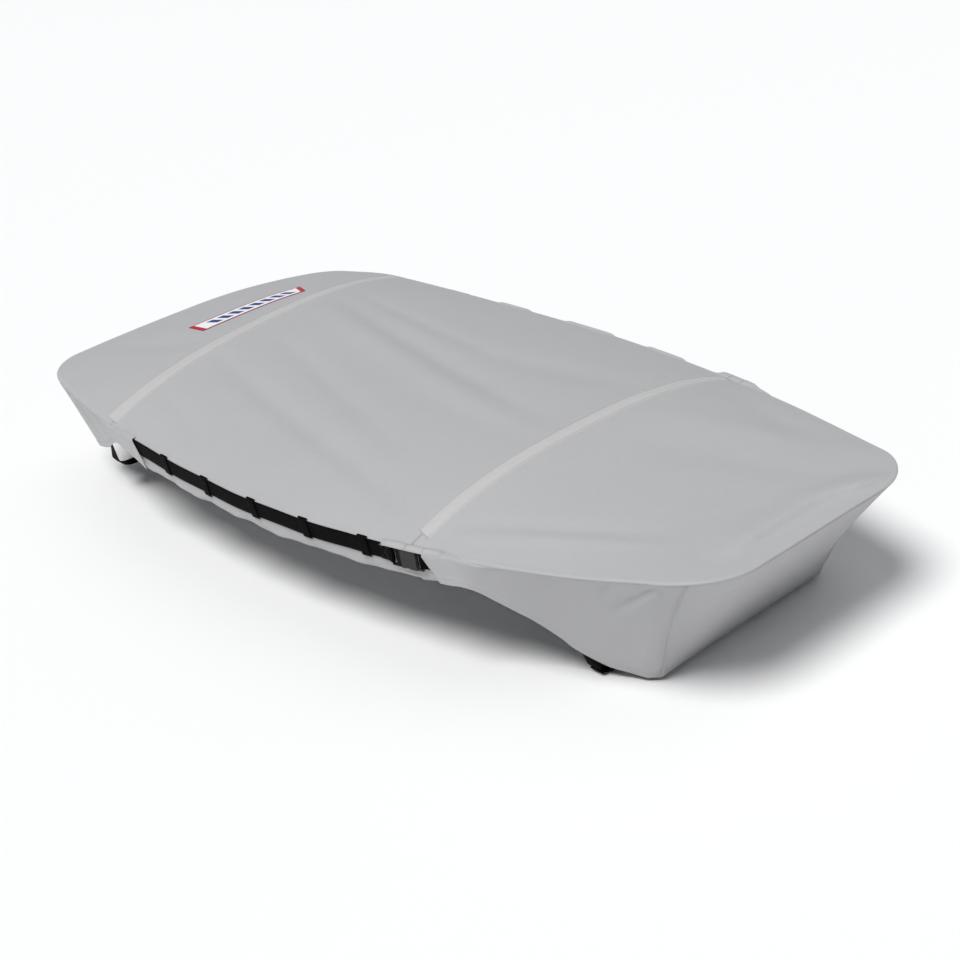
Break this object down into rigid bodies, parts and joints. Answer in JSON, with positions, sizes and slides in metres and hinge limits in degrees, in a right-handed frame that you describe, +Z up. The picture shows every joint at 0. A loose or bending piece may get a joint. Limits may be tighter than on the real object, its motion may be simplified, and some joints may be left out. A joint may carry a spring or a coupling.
{
  "type": "boat cover",
  "caption": "Fitted cloth top cover for a small pram dinghy: crowned top with flat bands, skirts deep at both ends, side belts in loops with side-release buckles, and straps under the hull.",
  "frame": {"origin": "middle of the boat's gunwale plane, under the cover's top", "axes": "+X from stern to bow, +Y from starboard to port, +Z up"},
  "size_m": [2.34, 1.1508, 0.3627],
  "materials": {
    "cloth": "coated woven cloth, satin",
    "band": "coated woven tape, satin",
    "webbing": "woven webbing, matte",
    "plastic": "moulded, satin",
    "label": "printed coated label, smooth"
  },
  "bodies": {
    "root": {"top_stern": "cloth", "top_middle": "cloth", "top_bow": "cloth", "skirt_stern_starboard": "cloth", "skirt_stern_port": "cloth", "panel_stern_end": "cloth", "skirt_bow_starboard": "cloth", "skirt_bow_port": "cloth", "panel_bow_end": "cloth", "strip_starboard": "cloth", "strip_port": "cloth", "band_stern": "band", "band_bow": "band", "label_plate": "label", "belt_starboard": "webbing", "belt_port": "webbing", "belt_end_starboard": "webbing", "belt_end_port": "webbing", "loop_starboard_1": "webbing", "loop_starboard_2": "webbing", "loop_starboard_3": "webbing", "loop_starboard_4": "webbing", "loop_starboard_5": "webbing", "loop_port_1": "webbing", "loop_port_2": "webbing", "loop_port_3": "webbing", "loop_port_4": "webbing", "loop_port_5": "webbing", "strap_bow_short": "webbing", "strap_bow_long": "webbing", "strap_stern": "webbing", "buckle_clip_starboard": "plastic", "buckle_socket_starboard": "plastic", "buckle_clip_port": "plastic", "buckle_socket_port": "plastic", "buckle_clip_strap": "plastic", "buckle_socket_strap": "plastic"}
  },
  "joints": []
}
